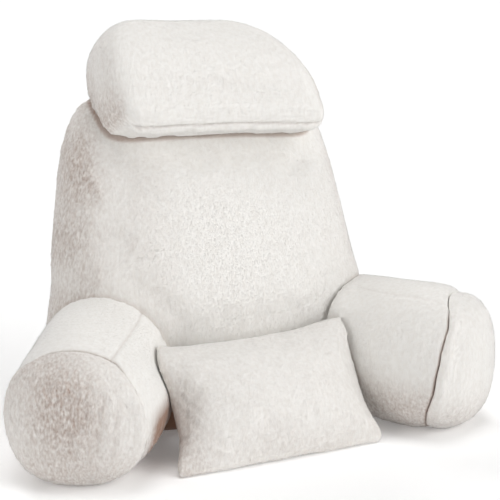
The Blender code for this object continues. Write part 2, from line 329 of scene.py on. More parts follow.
def pile_material(name, look):
    """Cream polyester plush pile, sheared short and brushed.

    To the eye it is matte with a soft pale rim where it is seen edge on, darker and warmer
    towards the roots, which is painted shade between the tufts. The pile's own map runs from
    root to tip along V, and along U from tufts with painted shade to pale ones.
    """
    material, tree, shader = new_material(name)
    place = node(tree, "ShaderNodeUVMap", uv_map="OFBake").outputs["UV"]
    place = node(tree, "ShaderNodeSeparateXYZ", {"Vector": place}).outputs
    fibre = colour_ramp(tree, place["Y"], ((0.0, look.root_colour), (0.75, look.tip_colour)))
    tuft = colour_ramp(tree, place["X"], ((0.0, look.shade_colour), (1.0, (1.0, 1.0, 1.0))))
    feed(shader, {
        "Base Color": multiplied(tree, 1.0, fibre, tuft), "Sheen Weight": look.sheen,
        "Subsurface Weight": look.glow, **PILE_SURFACE})
    return material


# ---- arrays and meshes ---------------------------------------------------------------

def read(items, name, width, kind=float):
    """An array of one property of all items, with that many numbers in each row."""
    values = np.empty(len(items) * width, kind)
    items.foreach_get(name, values)
    return values.reshape(-1, width)


def read_points(mesh):
    return read(mesh.vertices, "co", 3)


def read_normals(mesh):
    return read(mesh.vertex_normals, "vector", 3)


def read_attribute(mesh, name):
    return read(mesh.attributes[name].data, "value", 1)[:, 0]


def read_corners(mesh, sides):
    """The points of every face, where all faces have that many sides."""
    return read(mesh.loops, "vertex_index", 1, int).reshape(-1, sides)


def write_points(mesh, points):
    mesh.vertices.foreach_set("co", np.ascontiguousarray(points, np.float32).ravel())
    mesh.update()


def unit(vectors):
    return vectors / np.maximum(np.linalg.norm(vectors, axis=-1, keepdims=True), 1e-12)


def soft_noise(points, size, seed):
    """Random numbers from -1 to 1 on a lattice of that size, blended smoothly between."""
    cells = 48
    lattice = np.random.default_rng(seed).uniform(-1.0, 1.0, (cells, cells, cells))
    place = points / np.asarray(size)
    low = np.floor(place).astype(int)
    share = place - low
    share = share * share * (3.0 - 2.0 * share)
    total = np.zeros(len(points))
    for corner in np.ndindex(2, 2, 2):
        weight = np.where(corner, share, 1.0 - share).prod(axis=1)
        spot = (low + corner) % cells
        total += weight * lattice[spot[:, 0], spot[:, 1], spot[:, 2]]
    return total


def waves(points, kind):
    height, size, seed = WAVES[kind]
    return height * soft_noise(points, size, seed)


def evaluated_mesh(piece):
    """A new mesh of the piece as its modifiers leave it."""
    graph = bpy.context.evaluated_depsgraph_get()
    return bpy.data.meshes.new_from_object(piece.evaluated_get(graph))


def evaluated_points(piece):
    mesh = evaluated_mesh(piece)
    points = read_points(mesh)
    bpy.data.meshes.remove(mesh)
    return points


def keep_evaluated(piece):
    """Apply all modifiers by putting the evaluated mesh in the piece."""
    mesh = evaluated_mesh(piece)
    piece.modifiers.clear()
    old = piece.data
    piece.data = mesh
    bpy.data.meshes.remove(old)


def new_piece(name, mesh):
    piece = bpy.data.objects.new(name, mesh)
    bpy.context.scene.collection.objects.link(piece)
    return piece


def solid_copy(name, node_name, voxel):
    """A merged copy of a solid, remeshed in even squares of the voxel's size."""
    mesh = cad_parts[node_name].data.copy()
    mesh.materials.clear()
    piece = new_piece(name, mesh)
    weld = piece.modifiers.new("weld", "WELD")
    weld.merge_threshold = MERGE_DISTANCE
    remesh = piece.modifiers.new("remesh", "REMESH")
    remesh.mode = "VOXEL"
    remesh.voxel_size = voxel
    keep_evaluated(piece)
    return piece


def joined_neighbours(names):
    """One object of all solids but those named, to measure distances to."""
    all_points, all_faces, count = [], [], 0
    for other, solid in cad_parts.items():
        if other not in names:
            all_points.append(read_points(solid.data))
            all_faces.append(read_corners(solid.data, 3) + count)
            count += len(all_points[-1])
    return mesh_of("neighbours", np.concatenate(all_points), np.concatenate(all_faces))


def mesh_of(name, points, faces):
    """An object of points and of faces that all have the same number of corners."""
    mesh = bpy.data.meshes.new(name)
    sides = faces.shape[1]
    mesh.vertices.add(len(points))
    mesh.loops.add(faces.size)
    mesh.polygons.add(len(faces))
    mesh.vertices.foreach_set("co", np.ascontiguousarray(points, np.float32).ravel())
    mesh.loops.foreach_set("vertex_index", np.ascontiguousarray(faces, np.int32).ravel())
    mesh.polygons.foreach_set("loop_start", np.arange(0, faces.size, sides, dtype=np.int32))
    mesh.update(calc_edges=True)
    return new_piece(name, mesh)


def gaps_to(piece, other):
    """Distance of every point of the piece to the nearest face of the other object."""
    tree = bpy.data.node_groups.new("gap", "GeometryNodeTree")
    for way in ("INPUT", "OUTPUT"):
        tree.interface.new_socket("Geometry", in_out=way, socket_type="NodeSocketGeometry")
    start = node(tree, "NodeGroupInput")
    target = node(tree, "GeometryNodeObjectInfo", {"Object": other}).outputs["Geometry"]
    nearest = node(tree, "GeometryNodeProximity", {"Geometry": target}).outputs["Distance"]
    store = node(tree, "GeometryNodeStoreNamedAttribute",
                 {"Geometry": start.outputs[0], "Name": "gap", "Value": nearest})
    node(tree, "NodeGroupOutput", {0: store.outputs[0]})
    measure = piece.modifiers.new("gap", "NODES")
    measure.node_group = tree
    mesh = evaluated_mesh(piece)
    gaps = read_attribute(mesh, "gap")
    piece.modifiers.remove(measure)
    bpy.data.meshes.remove(mesh)
    bpy.data.node_groups.remove(tree)
    return gaps


def hold_group(piece, held):
    """A vertex group whose weight is the held share, in even steps."""
    group = piece.vertex_groups.new(name="held")
    steps = np.round(held * HELD_STEPS).astype(int)
    for step in range(1, HELD_STEPS + 1):
        group.add(np.nonzero(steps == step)[0].tolist(), step / HELD_STEPS, "REPLACE")
    return group


def swell(piece, held, pressure, slack):
    """Blow the cushion's cover up as cloth, held by its seams, and return its new points."""
    group = hold_group(piece, held)
    cloth = piece.modifiers.new("cloth", "CLOTH")
    for setting, value in COVER.items():
        setattr(cloth.settings, setting, value)
    cloth.settings.uniform_pressure_force = pressure
    cloth.settings.shrink_min = -slack
    cloth.settings.effector_weights.gravity = 0.0
    cloth.settings.vertex_group_mass = group.name
    cloth.point_cache.frame_end = CLOTH_FRAMES
    scene = bpy.context.scene
    for number in range(1, CLOTH_FRAMES + 1):
        scene.frame_set(number)
    points = evaluated_points(piece)
    piece.modifiers.remove(cloth)
    piece.vertex_groups.clear()
    scene.frame_set(1)
    return points


def relaxed(mesh, points, rounds, back=WAY_BACK):
    """Smooth the points without shrinking: every round moves each point half of the way to
    the mean of its neighbours, and then a little more than half of the way back out."""
    ends = read(mesh.edges, "vertices", 2, np.int32)
    start = np.concatenate((ends[:, 0], ends[:, 1]))
    stop = np.concatenate((ends[:, 1], ends[:, 0]))
    count = np.bincount(start, minlength=len(points))[:, None]
    for step in np.tile((0.5, -back), rounds):
        sums = [np.bincount(start, points[stop, axis], len(points)) for axis in range(3)]
        points = points + step * (np.stack(sums, 1) / count - points)
    return points


def projected(piece, solid):
    """Where the points meet the solid's faces along their normals, within a few millimetres."""
    wrap = piece.modifiers.new("wrap", "SHRINKWRAP")
    wrap.target = solid
    wrap.wrap_method = "PROJECT"
    wrap.use_negative_direction = True
    wrap.project_limit = WRAP_LIMIT
    points = evaluated_points(piece)
    piece.modifiers.remove(wrap)
    return points


def near(gap, reach):
    """1 where the gap is nothing, fading to 0 at the reach."""
    return 1.0 - np.clip(gap / reach, 0.0, 1.0)


def nothing(points, *_):
    return np.zeros(len(points))


def cushion(name, node_name, shape, ruffle_and_shade, crease_and_shade=nothing, contact_shade_share=None, grain=1.0, inset=None,
            crisp=0.0, soft=(), partner=None):
    """A filled cushion: drawn in by the inset, swelled, halved in grid and shaped.

    Grain scales its grid. Crisp is how near to a neighbour its edges get back the solid's
    own sharpness. Soft rounds its sewn edges off: how often, and a function of the points
    that says where. The partner is the solid that it is sewn to.

    Shape gives the points' moves, from the points, their normals, their distance to the
    partner, and how free they are of other cushions, from 0 to 1. Ruffle, crease and contact
    shade give shares: of ruffled nap with its painted shade, of painted shade along seams, in
    folds and in corners, and of painted shade at a contact.
    Returns the piece, and how far its points are from whatever keeps pile away.
    """
    sizes = bpy.context.scene.pillow_sizes
    piece = solid_copy(name, node_name, grain * sizes.voxel)
    mesh = piece.data
    write_points(mesh, relaxed(mesh, read_points(mesh), COPY_ROUNDS))
    neighbours = joined_neighbours((node_name,))
    others = joined_neighbours((node_name, partner))
    points = read_points(mesh)
    touch = gaps_to(piece, neighbours)
    for rounds, where in soft:
        rounded = relaxed(mesh, points, rounds, back=0.0)
        share = (1.0 - near(touch, SOFT_REACH)) * (where(points) if where else 1.0)
        points = points + (rounded - points) * share[:, None]
        write_points(mesh, points)
    if crisp:
        sharp = projected(piece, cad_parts[node_name])
        points = points + (sharp - points) * near(touch, crisp)[:, None]
        write_points(mesh, points)
    held = near(np.minimum(touch, points[:, 2]), HELD_REACH)
    inset = sizes.inset if inset is None else inset
    normals = read_normals(mesh)
    write_points(mesh, points - normals * (inset * (1.0 - held))[:, None])
    swelled = ((swell(piece, held, sizes.pressure, sizes.slack) - points) * normals).sum(1)
    swelled = np.clip(swelled, -SINK_LIMIT, sizes.swell_limit) * (1.0 - held)
    write_points(mesh, points + relaxed(mesh, normals * swelled[:, None], SWELL_ROUNDS))
    fine = piece.modifiers.new("fine", "SUBSURF")
    fine.levels = 1
    fine.render_levels = 1
    keep_evaluated(piece)
    mesh = piece.data
    points = read_points(mesh)
    normals = read_normals(mesh)
    seam = np.full(len(points), CLEAR)
    if partner:
        seam = gaps_to(piece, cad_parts[partner])
    ruffle_and_shade_share = ruffle_and_shade(points, normals)
    depth = ruffle_and_shade_share * sizes.ruffle_depth * waves(points, "locks")
    depth *= 1.0 - near(gaps_to(piece, neighbours), CONTACT_REACH)
    free = 1.0 - near(gaps_to(piece, others), CONTACT_REACH)
    points = points + shape(points, normals, seam, free) + normals * depth[:, None]
    points[:, 2] = np.maximum(points[:, 2], 0.0)
    write_points(mesh, points)
    gap = gaps_to(piece, others)
    # Painted shade at contacts, and in seams, folds and corners.
    pressed_and_shaded = near(gap, PRESSED_REACH) * (contact_shade_share(points) if contact_shade_share else 1.0)
    crease_and_contact_shade = np.maximum(crease_and_shade(points, seam), PRESSED_CREASE * pressed_and_shaded)
    shares = {"ruffle_and_shade": ruffle_and_shade_share, "seam": seam, "crease_and_shade": crease_and_contact_shade, "pressed_and_shaded": pressed_and_shaded}
    for kind, values in shares.items():
        made = mesh.attributes.new(kind, "FLOAT", "POINT")
        made.data.foreach_set("value", values.astype(np.float32))
    for helper in (neighbours, others):
        bpy.data.objects.remove(helper, do_unlink=True)
    mesh.shade_smooth()
    return piece, np.minimum(np.minimum(gap, seam), points[:, 2])


# ---- pile ----------------------------------------------------------------------------

def downward_nap(normals):
    """The way the pile is brushed, laid along the surface."""
    return unit(NAP - normals * (NAP * normals).sum(1, keepdims=True))


def scattered(mesh, gap, sizes, keep, dice):
    """Faces for the tufts, spread evenly by area over all that carry pile: the four points
    of each tuft's face, as often as its area asks for."""
    corners = read_corners(mesh, 4)
    points = read_points(mesh)
    bare = gap[corners].min(axis=1) < sizes.bare_reach
    if keep is not None:
        bare |= ~keep(points[corners].mean(axis=1))
    corners = corners[~bare]
    square = points[corners]
    area = np.cross(square[:, 2] - square[:, 0], square[:, 3] - square[:, 1])
    area = np.linalg.norm(area, axis=1) / 2.0
    count = int(area.sum() * sizes.pile_density * 1e6)
    places = (np.arange(count) + dice.random(count)) / count * area.sum()
    return corners[np.minimum(np.searchsorted(np.cumsum(area), places), len(area) - 1)]


def grow_pile(piece, gap, name, seed, keep, crease_and_shade):
    """Closed three-sided spikes all over the open faces of the piece, as a single mesh.

    Roots are spread evenly by area, each at a random place of its face. A tip is the pile's
    length away, along the normal turned towards the nap by the lean. Lean and nap drift
    with noise of a lock's size, so that neighbouring tufts lie together in soft locks. In
    a crease and at a contact the pile is shorter; there and where the nap is ruffled its
    tufts carry painted shade.
    """
    sizes = bpy.context.scene.pillow_sizes
    mesh = piece.data
    dice = np.random.default_rng(seed)
    corners = scattered(mesh, gap, sizes, keep, dice)
    count = len(corners)
    along = dice.random(count)[:, None]
    across = dice.random(count)[:, None]

    def blend(values):
        first = values[corners[:, 0]] * (1.0 - along) + values[corners[:, 1]] * along
        second = values[corners[:, 3]] * (1.0 - along) + values[corners[:, 2]] * along
        return first * (1.0 - across) + second * across

    def blended(kind):
        return blend(read_attribute(mesh, kind)[:, None])[:, 0]

    root = blend(read_points(mesh))
    up = unit(blend(read_normals(mesh)))
    flow = downward_nap(up)
    side = np.cross(up, flow)
    ruffle_and_shade_share = blended("ruffle_and_shade")
    crease_and_contact_shade = np.maximum(PRESSED_PILE * blended("pressed_and_shaded"), crease_and_shade(root, blended("seam")))
    lock = sizes.lock_size
    swirl = ((SWIRL + RUFFLED_SWIRL * ruffle_and_shade_share) * soft_noise(root, SWIRL_SIZE, seed + 1)
             + (LOCK_SWIRL + RUFFLED_LOCK_SWIRL * ruffle_and_shade_share) * soft_noise(root, lock, seed + 2)
             + TUFT_SWIRL * dice.standard_normal(count))
    flow = unit(flow + side * swirl[:, None])
    loose = dice.random(count) < sizes.loose_share
    lean = (sizes.lean * np.where(loose, LOOSE_LEAN, 1.0) - RUFFLED_RISE * ruffle_and_shade_share
            + TUFT_LEAN * dice.standard_normal(count)
            + (LOCK_LEAN + RUFFLED_LOCK_LEAN * ruffle_and_shade_share) * soft_noise(root, lock, seed + 3))
    way = up * np.cos(lean)[:, None] + flow * np.sin(lean)[:, None]
    length = sizes.pile_length * np.where(loose, LOOSE_LENGTH, 1.0) * (
        1.0 - CREASE_SHORTENING * crease_and_contact_shade) * (
        1.0 + PATCH_LENGTH * soft_noise(root, PATCH_LENGTH_SIZE, seed + 4)
        + TUFT_LENGTH * dice.standard_normal(count))
    tip = root + way * length[:, None]
    tip[:, 2] = np.maximum(tip[:, 2], TIP_FLOOR)
    turn = dice.uniform(0.0, 2.0 * math.pi, count)
    side = np.cross(up, flow)
    foot = root - up * sizes.pile_sink
    radius = (sizes.pile_width / 2.0 * np.where(loose, LOOSE_WIDTH, 1.0))[:, None]
    spikes = np.empty((count, 4, 3))
    for corner in range(3):
        angle = (turn + corner * 2.0 * math.pi / 3.0)[:, None]
        spikes[:, corner] = foot + (flow * np.cos(angle) + side * np.sin(angle)) * radius
    spikes[:, 3] = tip
    base = np.arange(count)[:, None, None] * 4
    faces = base + np.array(((0, 1, 3), (1, 2, 3), (2, 0, 3), (0, 2, 1)))
    pile = mesh_of(name, spikes.reshape(-1, 3), faces.reshape(-1, 3))
    outward = unit(spikes - foot[:, None])
    outward[:, 3] = way
    soft = unit(up[:, None] * (1.0 - sizes.roundness) + outward * sizes.roundness)
    pile.data.normals_split_custom_set_from_vertices(soft.reshape(-1, 3))
    # Painted shade of ruffled nap in curls, and of creases and contacts.
    mottle = waves(root, "curls") + waves(root, "locks_shade")
    ruffle_shade = np.clip(ruffle_and_shade_share * (RUFFLED_SHADE + CURL_SHADE * mottle), 0.0, RUFFLED_SHADE_LIMIT)
    shade = OPEN_SHADE - ruffle_shade - CREASE_SHADE * crease_and_contact_shade
    shade = np.clip(shade + TUFT_SHADE * dice.standard_normal(count), DARKEST, PALEST)
    places = np.empty((count, 4, 2))
    places[:, :, 0] = shade[:, None] + TUFT_MAP_WIDTH * np.array((-1.0, 1.0, 0.0, 0.0))
    places[:, :, 1] = np.array((0.0, 0.0, 0.0, 1.0))
    layer = pile.data.uv_layers.new(name="OFBake")
    spots = places.reshape(-1, 2)[faces.reshape(-1)]
    layer.data.foreach_set("uv", spots.astype(np.float32).ravel())
    return pile


# ---- shapes of the seams and folds ----------------------------------------------------

def groove(distance, width):
    """A smooth trough: 1 on the line, fading out over the width."""
    return np.exp(-(distance / width) ** 2)


def arm_curve(name):
    """Points of an arm's axis in plan, its unit direction there, the share along it, and its
    length: a curve with given ends and directions, which runs on straight past both."""
    side, root_x, root_y, root_angle, seam_x, seam_y, seam_angle = ARM_AXES[name]
    first, last = (np.array((math.sin(math.radians(angle)), -math.cos(math.radians(angle))))
                   for angle in (root_angle, seam_angle))
    root, seam = np.array((root_x, root_y)), np.array((seam_x, seam_y))
    reach = seam - root
    share = (reach[0] * last[1] - reach[1] * last[0]) / (first[0] * last[1] - first[1] * last[0])
    bend = root + first * share
    t = np.linspace(-0.5, 1.5, 161)[:, None]
    inner = np.clip(t, 0.0, 1.0)
    curve = root * (1 - inner) ** 2 + 2 * bend * inner * (1 - inner) + seam * inner ** 2
    length = np.linalg.norm(bend - root) + np.linalg.norm(seam - bend)
    curve = curve + first * np.minimum(t, 0.0) * length + last * np.maximum(t - 1.0, 0.0) * length
    curve = curve * np.array((side, 1.0)) + FRAME_SHIFT
    return curve, unit(np.gradient(curve, axis=0)), t[:, 0], length


def arm_place(points, name):
    """How far along the axis each point lies, in metres from the root, its angle from the
    top, positive towards the lap, the axis' length and the unit way out from the axis."""
    curve, ways, share, length = arm_curve(name)
    away = ((points[:, None, :2] - curve[None]) ** 2).sum(2)
    nearest = away.argmin(1)
    way = ways[nearest]
    offset = points[:, :2] - curve[nearest]
    across = (way[:, 1] * offset[:, 0] - way[:, 0] * offset[:, 1]) * ARM_AXES[name][0]
    height = points[:, 2] - ARM_CENTRE_HEIGHT
    out = unit(np.column_stack((offset, height)))
    return share[nearest] * length, np.arctan2(across, height), length, out


def smooth_step(values, low, high):
    """0 below low and 1 above high, with a smooth turn between; low may be the larger."""
    share = np.clip((values - low) / (high - low), 0.0, 1.0)
    return share * share * (3.0 - 2.0 * share)


def by_turn(table, angle):
    """The table's value at each angle round an arm, in between by straight lines."""
    degrees, values = np.array(table).T
    return np.interp(np.degrees(angle), degrees, values)


def end_seam(points, normals, name, seam):
    """How far past the seam the points are, their angle, and the moves that arm and end
    panel share by it, so that their edges stay together: out from the arm's axis where the
    notch there is filled and the line of stitches sunk, and a slide of the seam outwards
    along the arm, which turns to one along the surface."""
    along, angle, length, out = arm_place(points, name)
    depth = by_turn(END_SEAM_FILLS[name], angle) * groove(seam, FILL_REACH)
    stitches = STITCH_DEPTH * by_turn(END_SEAM_LINES[name], angle) - NOTCH_RISE
    depth -= stitches * groove(seam, STITCH_WIDTH)
    depth += groove(seam, PUCKER_REACH) * waves(points, "puckers")
    shift = by_turn(END_SEAM_SHIFTS[name], angle) * groove(along - length, SLIDE_REACH)
    _, ways, share, _ = arm_curve(name)
    way = np.zeros_like(points)
    for axis in range(2):
        way[:, axis] = np.interp(along / length, share, ways[:, axis])
    outer = 1.0 - groove(seam, SLIDE_TURN)
    way -= normals * (outer * (way * normals).sum(1))[:, None]
    return along - length, angle, out * depth[:, None] + way * shift[:, None]


def leaving(points, moves):
    """The sum of moves, each full at its place and fading out over its reach."""
    total = np.zeros_like(points)
    for place, reach, way in moves:
        share = np.exp(-((points - np.array(place)) ** 2).sum(1) / reach ** 2)
        total += share[:, None] * np.array(way)
    return total


def long_seam(angle, past, name, width):
    """1 along an arm's long seam, which sets in past the backrest."""
    line = groove(ARM_RADIUS * (angle - ARM_SEAM_TURNS[name]), width)
    return line * smooth_step(past, *LONG_SEAM_START)


def shape_arm(name):
    """The long seam sunk along the arm, the seam of its end panel, and where the arm leaves
    its solid."""
    def shape(points, normals, seam, free):
        past, angle, shift = end_seam(points, normals, name, seam)
        sunk = ARM_SEAM_DEPTHS[name] * long_seam(angle, past, name, LONG_SEAM_WIDTH)
        depth = waves(points, "arm") * free - sunk
        return normals * depth[:, None] + shift + leaving(points, ARM_MOVES[name])
    return shape


def arm_crease_shade(name):
    """Painted shade along an arm's two seams, and deep between it and the backrest."""
    def crease_and_shade(points, seam):
        along, angle, length, _ = arm_place(points, name)
        dark = LONG_SEAM_LINES[name] * long_seam(angle, along - length, name, LONG_LINE_WIDTH)
        dark += by_turn(END_SEAM_LINES[name], angle) * groove(seam, STITCH_LINE_WIDTH)
        # Painted shade deep between the left arm's root and the backrest.
        if name == "arm_left":
            dark += (smooth_step(points[:, 0], *ARM_DEEP_ACROSS)
                     * smooth_step(points[:, 2], *ARM_DEEP_HEIGHTS))
        return np.clip(dark, 0.0, 1.0)
    return crease_and_shade


def fold_line(points, place, low, high):
    """1 along an upright fold of an end panel, which leans a little with its height."""
    height = points[:, 2]
    ends = smooth_step(height, low - FOLD_FADE, low + FOLD_FADE)
    ends *= smooth_step(height, high + FOLD_FADE, high - FOLD_FADE)
    wander = waves(points * np.array((0.0, 0.0, 1.0)), "fold")
    return groove(points[:, 0] - place - FOLD_LEAN * (height - high) - wander, FOLD_WIDTH) * ends


def shape_end(name):
    """The end panel's seam, and soft upright folds over its face."""
    def shape(points, normals, seam, free):
        past, _, shift = end_seam(points, normals, name, seam)
        face = smooth_step(past, *END_FACE)
        depth = waves(points, "end") * face
        for place, low, high, sunk in END_FOLDS[name]:
            depth -= sunk * fold_line(points, place, low, high) * face
        return normals * depth[:, None] + shift + leaving(points, ARM_MOVES[name])
    return shape


def end_crease_shade(name):
    """Painted shade along an end panel's seam, and in its folds."""
    def crease_and_shade(points, seam):
        along, angle, length, _ = arm_place(points, name)
        face = smooth_step(along - length, *END_FACE)
        dark = by_turn(END_SEAM_LINES[name], angle) * groove(seam, STITCH_LINE_WIDTH)
        for place, low, high, _ in END_FOLDS[name]:
            dark += FOLD_LINE * fold_line(points, place, low, high) * face
        return np.clip(dark, 0.0, 1.0)
    return crease_and_shade


def headrest_place(points):
    """The points in the headrest's own frame, and that frame's axes: across, through from
    its front, and up."""
    lean, roll = HEADREST_LEAN, HEADREST_ROLL
    tilt = np.array(((1.0, 0.0, 0.0),
                     (0.0, math.cos(lean), math.sin(lean)),
                     (0.0, -math.sin(lean), math.cos(lean))))
    turn = np.array(((math.cos(roll), 0.0, math.sin(roll)),
                     (0.0, 1.0, 0.0),
                     (-math.sin(roll), 0.0, math.cos(roll))))
    stand = tilt @ turn
    return (points - HEADREST_FOOT) @ stand, stand


# The headrest's lower front edge, by degrees round a line inside it from the front to
# straight down: how many millimetres it stands out over the solid, with the seam between
# the full front and the narrow roll under it.
HEADREST_EDGE = (
    (-5, 0.0), (20, 2.0), (40, 7.0), (52, 10.0), (58, 10.5), (61, 7.5), (64, 11.5),
    (71, 13.5), (79, 11.5), (90, 5.0), (104, 1.0), (114, 0.0),
)
HEADREST_EDGE_CENTRE = (-0.030, 0.040)
HEADREST_HALF_WIDTH = 0.165
HEADREST_SEAM_DROP = 12.0  # degrees by which the seam sinks at the corners
# The lower seam's turn, and the width and strength of its line of painted shade.
HEADREST_SEAM_TURN, HEADREST_LINE_WIDTH, HEADREST_LINE = 61.0, 1.9, 0.26
HEADREST_ROLL_TURNS = (60.0, 66.0)  # from the seam on the roll is lumpy
HEADREST_GATHERS_TURN, HEADREST_GATHERS_WIDTH = 40.0, 16.0
HEADREST_MOVES = (
    ((-0.150, 0.045, 0.420), 0.036, (0.006, 0.000, 0.006)),
    ((-0.152, 0.110, 0.530), 0.070, (-0.005, 0.002, 0.003)),
    ((0.110, 0.075, 0.550), 0.080, (-0.0015, 0.000, -0.002)),
)
HEADREST_FULLNESS = 0.0024  # how far the top stands out over the solid


def headrest_turn(place):
    """Degrees round the lower front edge's centre line, less towards the ends, where the
    seam runs out at the corners, and the way out from that line."""
    out = place[:, 1:] - np.array(HEADREST_EDGE_CENTRE)
    turn = np.degrees(np.arctan2(-out[:, 1], -out[:, 0]))
    end = np.clip(np.abs(place[:, 0]) / HEADREST_HALF_WIDTH, 0.0, 1.0)
    return turn - HEADREST_SEAM_DROP * end ** 3, out


def headrest_ends(points):
    """1 at the headrest's two ends, above their lower corners."""
    place, _ = headrest_place(points)
    return smooth_step(np.abs(place[:, 0]), 0.110, 0.155) * smooth_step(place[:, 2], 0.015, 0.050)


def shape_headrest(points, normals, seam, free):
    """Fuller top and lower front, seam and lumpy roll under it, and puckers at the seam."""
    place, stand = headrest_place(points)
    turn, out = headrest_turn(place)
    ends = smooth_step(place[:, 0], -0.152, -0.126) * smooth_step(place[:, 0], 0.182, 0.152)
    lumps = waves(points * np.array((1.0, 0.2, 0.2)), "roll")
    lumps = 1.0 + lumps * smooth_step(turn, *HEADREST_ROLL_TURNS)
    degrees, millimetres = np.array(HEADREST_EDGE).T
    push = np.interp(turn, degrees, millimetres) * 0.001 * lumps * ends * (place[:, 1] <= 0.0)
    way = np.zeros_like(points)
    way[:, 1:] = unit(out)
    depth = groove(turn - HEADREST_GATHERS_TURN, HEADREST_GATHERS_WIDTH) * ends
    depth *= waves(place * np.array((1.0, 0.1, 0.15)), "gathers")
    depth = (depth + waves(points, "headrest")) * free
    depth += HEADREST_FULLNESS * smooth_step((normals @ stand)[:, 2], 0.60, 0.95)
    move = (way * push[:, None]) @ stand.T + normals * depth[:, None]
    return move + leaving(points, HEADREST_MOVES)


def headrest_seam_shade(points, seam):
    """Painted shade in a line along the headrest's lower seam."""
    place, _ = headrest_place(points)
    turn, _ = headrest_turn(place)
    ends = smooth_step(place[:, 0], -0.146, -0.126) * smooth_step(place[:, 0], 0.176, 0.156)
    line = HEADREST_LINE * groove(turn - HEADREST_SEAM_TURN, HEADREST_LINE_WIDTH)
    return line * ends * (place[:, 1] < 0.0)


# The lumbar pillow's corners, drawn out over the arms and along the floor: corner, reach
# and move.
LUMBAR_CORNERS = (
    ((-0.132, -0.078, 0.142), 0.045, (-0.021, -0.014, 0.003)),
    ((0.150, -0.060, 0.140), 0.050, (-0.002, -0.014, 0.006)),
    ((-0.150, -0.167, 0.009), 0.032, (-0.008, -0.002, 0.000)),
    ((0.146, -0.153, 0.006), 0.040, (0.015, -0.002, 0.000)),
)


def lumbar_contact_shade(points):
    """The loose pillow shows little of the shade at its contacts."""
    return np.full(len(points), 0.15)


def shape_lumbar(points, normals, seam, free):
    """Upper corners drawn out over the arms, and soft dents in the loose pillow's face."""
    depth = waves(points, "lumbar") + waves(points, "lumbar_fine")
    return normals * depth[:, None] + leaving(points, LUMBAR_CORNERS)


def backrest_foot_shade(points, seam):
    """Deep shade at the backrest's foot, behind the left arm and the lumbar pillow."""
    left = smooth_step(points[:, 0], -0.055, -0.085) * (points[:, 1] < CENTRE[1] + 0.05)
    return smooth_step(points[:, 2], 0.075, 0.040) * left


BACKREST_FULLNESS = 0.0045  # how far the side in view stands out over the solid


def backrest_contact_shade(points):
    """How much of the shade at a contact shows: all of it under the headrest's front."""
    behind = smooth_step(points[:, 1], 0.140, 0.165)
    return 0.25 + 0.75 * smooth_step(points[:, 2], 0.36, 0.40) * (1.0 - 0.7 * behind)


def arm_contact_shade(points):
    """A little of the shade at a contact, and more at the front of the arm."""
    return 0.25 + 0.50 * smooth_step(points[:, 1], -0.040, -0.060)


def shape_backrest(points, normals, seam, free):
    """Soft dents in the face, upright streaks down the sides, and a fuller left side."""
    streaks = waves(points, "streaks") * smooth_step(np.abs(normals[:, 0]), 0.45, 0.8)
    full = smooth_step(-normals[:, 0], 0.35, 0.85) * smooth_step(points[:, 2], 0.200, 0.250)
    depth = (waves(points, "backrest") + streaks + BACKREST_FULLNESS * full) * free
    return normals * depth[:, None]


# ---- ruffled and mottled nap, with painted shade on the sides and low down ------------

def patchy(points, amount):
    """The amount, more in some patches of the size of a hand and less in others."""
    return np.clip(amount * (1.0 + waves(points, "patches")), 0.0, 1.0)


# 1 at the floor and 0 from 8 cm up: where painted shade darkens the lower parts.
def shaded_low_down(points):
    return smooth_step(points[:, 2], 0.080, 0.015)


def ruffled_and_shaded_sides(points, normals):
    """Ruffled nap and painted shade: much on the left side, less on the right, a little at the
    face's left edge.
    """
    edge = 0.16 * smooth_step(points[:, 0], -0.060, -0.130)
    across = normals[:, 0]
    sides = 0.78 * smooth_step(-across, 0.30, 0.85) + 0.25 * smooth_step(across, 0.30, 0.85)
    return patchy(points, np.maximum(sides, edge))


def ruffled_and_shaded_gussets(points, normals):
    """Ruffled nap and painted shade on the headrest's two ends, more low down."""
    side = smooth_step(np.abs(normals[:, 0]), 0.45, 0.95)
    return patchy(points, side * (0.30 + 0.38 * smooth_step(points[:, 2], 0.52, 0.46)))


# Ruffled nap and painted shade on an arm, more towards the floor.
def ruffled_and_shaded_arm(points, normals):
    return 0.80 * smooth_step(points[:, 2], 0.110, 0.035)


def ruffled_and_shaded_left_end(points, normals):
    """Ruffled nap and painted shade: a little all over, a patch in the middle of the panel, and
    its foot.
    """
    patch = groove(points[:, 0] + 0.316, 0.042) * groove(points[:, 2] - 0.118, 0.070)
    return np.clip(0.20 + patch + 0.40 * shaded_low_down(points), 0.0, 1.0)


# Ruffled nap and painted shade: a little all over, more at the panel's foot.
def ruffled_and_shaded_right_end(points, normals):
    return 0.06 + 0.40 * shaded_low_down(points)


# Ruffled nap and painted shade: a little all over, more on the left side and low down.
def ruffled_and_shaded_lumbar(points, normals):
    side = smooth_step(points[:, 0], -0.080, -0.135) * smooth_step(points[:, 2], 0.160, 0.110)
    return patchy(points, 0.10 + 0.22 * side + 0.15 * shaded_low_down(points))


RUFFLED_AND_SHADED_ENDS = {"arm_left": ruffled_and_shaded_left_end, "arm_right": ruffled_and_shaded_right_end}


# ---- settings -------------------------------------------------------------------------

def number(name, description, default, **more):
    return bpy.props.FloatProperty(name=name, description=description, default=default, **more)


def length(name, description, default):
    return number(name, description, default, unit="LENGTH")


def portion(name, description, default):
    return number(name, description, default, min=0.0, max=1.0)


def colour(name, description, code):
    return bpy.props.FloatVectorProperty(name=name, description=description, default=linear(code),
                                         subtype="COLOR", min=0.0, max=1.0)


